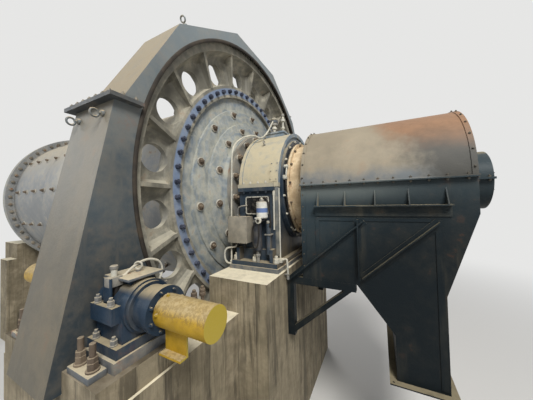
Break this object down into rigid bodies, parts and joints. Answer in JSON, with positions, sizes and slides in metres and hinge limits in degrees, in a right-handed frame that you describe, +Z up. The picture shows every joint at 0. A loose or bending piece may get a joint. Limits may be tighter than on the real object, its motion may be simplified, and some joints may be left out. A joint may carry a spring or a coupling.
{
  "type": "ball mill",
  "caption": "Trunnion-supported grinding mill with a guarded girth gear, two main bearings on concrete piers and a hooded discharge chute.",
  "frame": {"origin": "on the ground, at the middle of the machine's outline seen from above", "axes": "+X along the drum towards the discharge end, +Y away from the pinion's side, +Z up"},
  "size_m": [8.778, 4.763, 5.173],
  "materials": {
    "drum_paint": "worn satin paint under pale dust",
    "head_paint": "dusty paint with blue patches",
    "gear_casting": "dusty cast iron",
    "journal_steel": "turned steel",
    "rusty_ring": "rusted",
    "trommel_steel": "worn steel",
    "guard_paint": "blue-grey paint, dusty on top",
    "roof_paint": "dark paint",
    "bearing_paint": "dark blue paint",
    "cap_paint": "blue paint under beige dust",
    "sole_steel": "dusty paint",
    "concrete": "board-marked concrete",
    "hood_paint": "dusty paint with rust",
    "chute_paint": "dark slate paint",
    "yellow_paint": "yellow paint, dusty on top",
    "pinion_paint": "dark blue paint",
    "box_paint": "dusty grey paint",
    "black_frame": "matte black",
    "filter_body": "off-white"
  },
  "bodies": {
    "plant": {"guard_front_plate": "guard_paint", "guard_back_plate": "guard_paint", "guard_rim": "guard_paint", "pinion_box_roof": "roof_paint", "guard_plinth": "concrete", "discharge_bearing_base": "bearing_paint", "discharge_bearing_cap": "cap_paint", "discharge_sole_plate": "sole_steel", "discharge_pier": "concrete", "feed_bearing_base": "bearing_paint", "feed_bearing_cap": "cap_paint", "feed_sole_plate": "sole_steel", "feed_pier": "concrete", "hood_shell": "hood_paint", "hood_inlet_plate": "hood_paint", "hood_end_plate": "hood_paint", "end_cover": "chute_paint", "chute_body": "chute_paint", "chute_shelves": "chute_paint", "chute_braces": "chute_paint", "outlet_flange": "chute_paint", "support_frame_near": "chute_paint", "support_frame_far": "chute_paint", "pinion_bearing_front": "pinion_paint", "pinion_bearing_rear": "pinion_paint", "shaft_guard_front": "yellow_paint", "shaft_guard_rear": "yellow_paint", "pinion_sole_front": "sole_steel", "pinion_sole_rear": "sole_steel", "pinion_pier_front": "concrete", "pinion_pier_rear": "concrete", "junction_box": "box_paint", "inspection_window": "black_frame", "oil_filter": "filter_body"},
    "mill": {"shell": "drum_paint", "discharge_head": "head_paint", "feed_head": "head_paint", "girth_gear": "gear_casting", "discharge_trunnion": "journal_steel", "feed_trunnion": "journal_steel", "discharge_end_ring": "rusty_ring", "feed_end_ring": "rusty_ring", "trommel": "trommel_steel"}
  },
  "joints": [
    {"name": "mill_turn", "type": "hinge", "parent": "plant", "child": "mill", "pos_m": [-0.974, 0.2085, 3], "axis": [1, 0, 0], "continuous": true}
  ]
}
